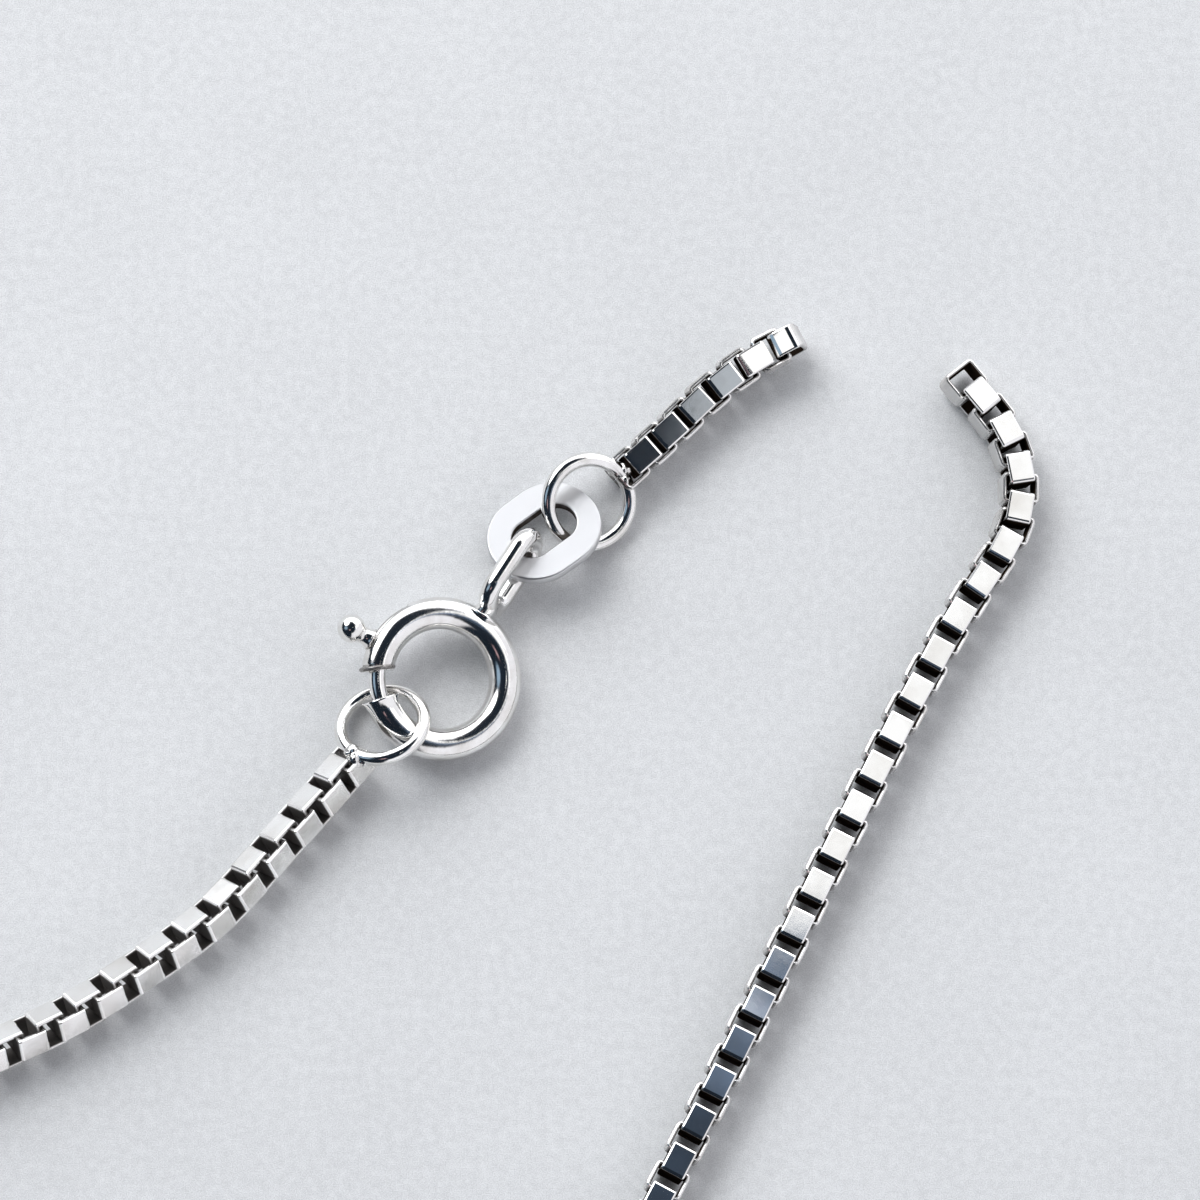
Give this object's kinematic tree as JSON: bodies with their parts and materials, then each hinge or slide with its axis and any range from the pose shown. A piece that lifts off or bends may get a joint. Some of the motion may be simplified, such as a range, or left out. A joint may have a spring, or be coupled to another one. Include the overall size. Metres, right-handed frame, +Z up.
{
  "type": "box chain necklace, broken, with a spring ring clasp",
  "caption": "Fine silver box chain necklace lying open where it has broken, with a closed spring ring clasp, an oval tag link and small end rings.",
  "frame": {"origin": "on the surface that the necklace lies on, under the middle of its outline", "axes": "+Z up from the surface, +Y towards the clasp and the two free ends as seen from above, +X to the right of that view"},
  "size_m": [0.1468, 0.1622, 0.0023],
  "materials": {
    "silver": "polished silver",
    "bolt_silver": "polished silver, slightly duller",
    "tag_silver": "satin silver"
  },
  "bodies": {
    "necklace": {"clasp_body": "silver", "clasp_end_ring": "silver", "tag_link": "tag_silver", "tag_end_ring": "silver", "short_chain": "silver", "long_chain": "silver", "long_chain_back": "silver"},
    "bolt": {"clasp_bolt": "bolt_silver"}
  },
  "joints": [
    {"name": "bolt_draw", "type": "hinge", "parent": "necklace", "child": "bolt", "pos_m": [0.05127, 0.06735, 0.00104], "axis": [0.1455, -0.1097, 0.9833], "range_deg": [-32, 0], "stiffness_Nm_per_rad": 0.003, "springref_deg": 11.46}
  ]
}
